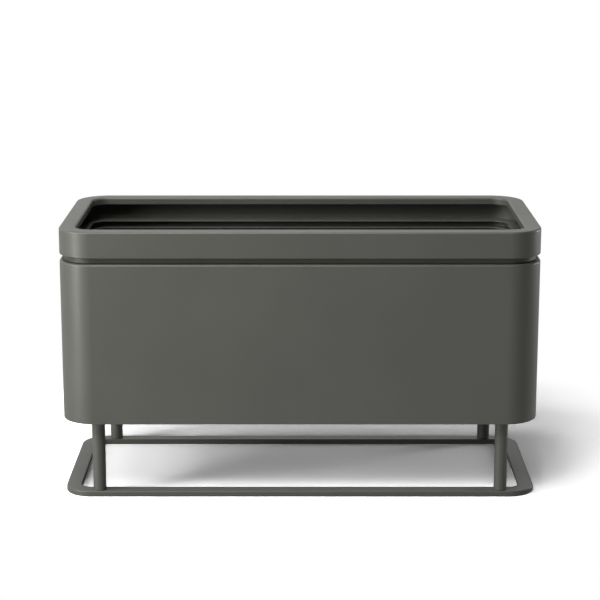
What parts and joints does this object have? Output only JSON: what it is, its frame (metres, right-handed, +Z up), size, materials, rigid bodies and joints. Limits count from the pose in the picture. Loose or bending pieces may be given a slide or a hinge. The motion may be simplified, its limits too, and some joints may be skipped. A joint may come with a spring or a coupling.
{
  "type": "planter pot",
  "caption": "Rectangular planter box of coated steel sheet with round corners, a channel rim over a recessed neck, a lift-out liner, and round legs on a flat bar ring.",
  "frame": {"origin": "on the floor, under the middle of the box", "axes": "+X along the box's length, +Y towards its back, +Z up"},
  "size_m": [0.8, 0.36, 0.46],
  "materials": {
    "powder_coat": "fine satin powder coat, warm dark grey",
    "zinc_plate": "bright zinc plate",
    "black_zinc": "black zinc plate, satin",
    "black_rubber": "matt",
    "liner_plastic": "matt moulded plastic with a fine grain"
  },
  "bodies": {
    "planter": {"base_ring": "powder_coat", "body_foot": "powder_coat", "body_shoulder": "powder_coat", "body_wall": "powder_coat", "floor_plate": "powder_coat", "glide_1": "black_rubber", "glide_2": "black_rubber", "glide_3": "black_rubber", "glide_4": "black_rubber", "glide_5": "black_rubber", "glide_6": "black_rubber", "leg_foot_plug_back_left": "zinc_plate", "leg_foot_plug_back_right": "zinc_plate", "leg_foot_plug_front_left": "zinc_plate", "leg_foot_plug_front_right": "zinc_plate", "leg_pad_back_left": "zinc_plate", "leg_pad_back_right": "zinc_plate", "leg_pad_front_left": "zinc_plate", "leg_pad_front_right": "zinc_plate", "leg_screw_back_left": "zinc_plate", "leg_screw_back_right": "zinc_plate", "leg_screw_front_left": "zinc_plate", "leg_screw_front_right": "zinc_plate", "leg_top_plug_back_left": "zinc_plate", "leg_top_plug_back_right": "zinc_plate", "leg_top_plug_front_left": "zinc_plate", "leg_top_plug_front_right": "zinc_plate", "leg_tube_back_left": "powder_coat", "leg_tube_back_right": "powder_coat", "leg_tube_front_left": "powder_coat", "leg_tube_front_right": "powder_coat", "leg_washer_back_left": "black_rubber", "leg_washer_back_right": "black_rubber", "leg_washer_front_left": "black_rubber", "leg_washer_front_right": "black_rubber", "neck_spacer": "powder_coat", "rim_band": "powder_coat", "rim_ledge": "powder_coat", "rim_return": "powder_coat", "rim_top": "powder_coat", "ring_screw_back_left": "zinc_plate", "ring_screw_back_right": "zinc_plate", "ring_screw_front_left": "zinc_plate", "ring_screw_front_right": "zinc_plate", "spacer_screw_1": "black_zinc", "spacer_screw_2": "black_zinc", "spacer_screw_3": "black_zinc", "spacer_screw_4": "black_zinc", "spacer_screw_5": "black_zinc", "spacer_screw_6": "black_zinc", "spacer_screw_7": "black_zinc", "spacer_screw_8": "black_zinc"},
    "liner": {"liner": "liner_plastic"},
    "drain_plug_left": {"drain_plug_left": "black_rubber"},
    "drain_plug_right": {"drain_plug_right": "black_rubber"}
  },
  "joints": [
    {"name": "liner_lift", "type": "slide", "parent": "planter", "child": "liner", "axis": [0, 0, 1], "range_m": [0, 0.34]},
    {"name": "drain_plug_left_pull", "type": "slide", "parent": "liner", "child": "drain_plug_left", "axis": [0, 0, 1], "range_m": [0, 0.34]},
    {"name": "drain_plug_right_pull", "type": "slide", "parent": "liner", "child": "drain_plug_right", "axis": [0, 0, 1], "range_m": [0, 0.34]}
  ]
}
